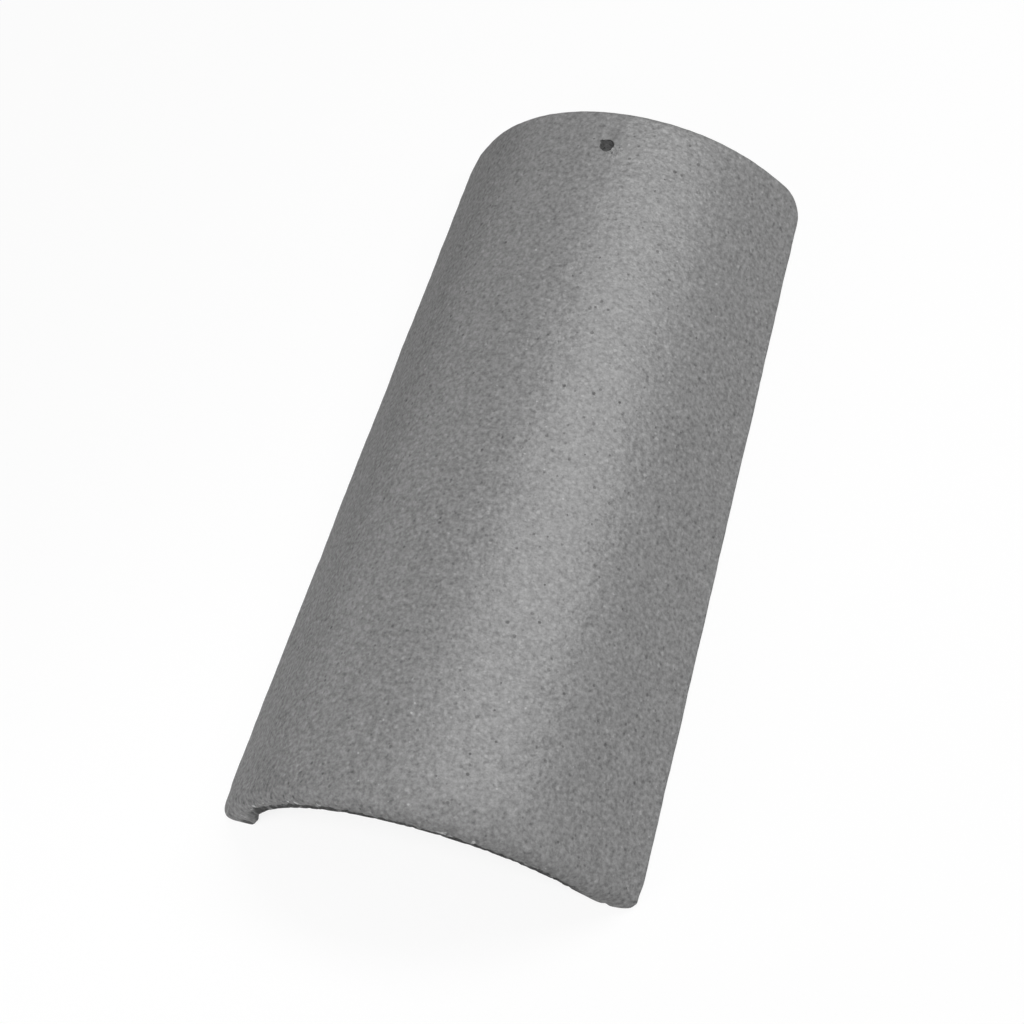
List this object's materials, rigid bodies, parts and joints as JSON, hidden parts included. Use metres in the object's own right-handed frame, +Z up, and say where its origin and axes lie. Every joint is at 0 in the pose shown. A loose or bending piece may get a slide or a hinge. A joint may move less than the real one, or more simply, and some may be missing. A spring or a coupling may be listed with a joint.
{
  "type": "concrete ridge tile",
  "caption": "Tapered arch-shaped ridge tile in plain grey concrete, with a round crown, straight flanks, a rolled nose on its wide end and a nail hole in the crown near its narrow end.",
  "frame": {"origin": "on the floor under the tile, in the middle of its length and width", "axes": "+Y along the crown from the wide end to the narrow end, +Z up, +X to the right of someone who looks from the wide end to the narrow end"},
  "size_m": [0.2268, 0.42, 0.0841],
  "materials": {
    "concrete": "fine sandy moulded concrete, matt with a slight sheen"
  },
  "bodies": {
    "root": {"ridge_tile": "concrete"}
  },
  "joints": []
}
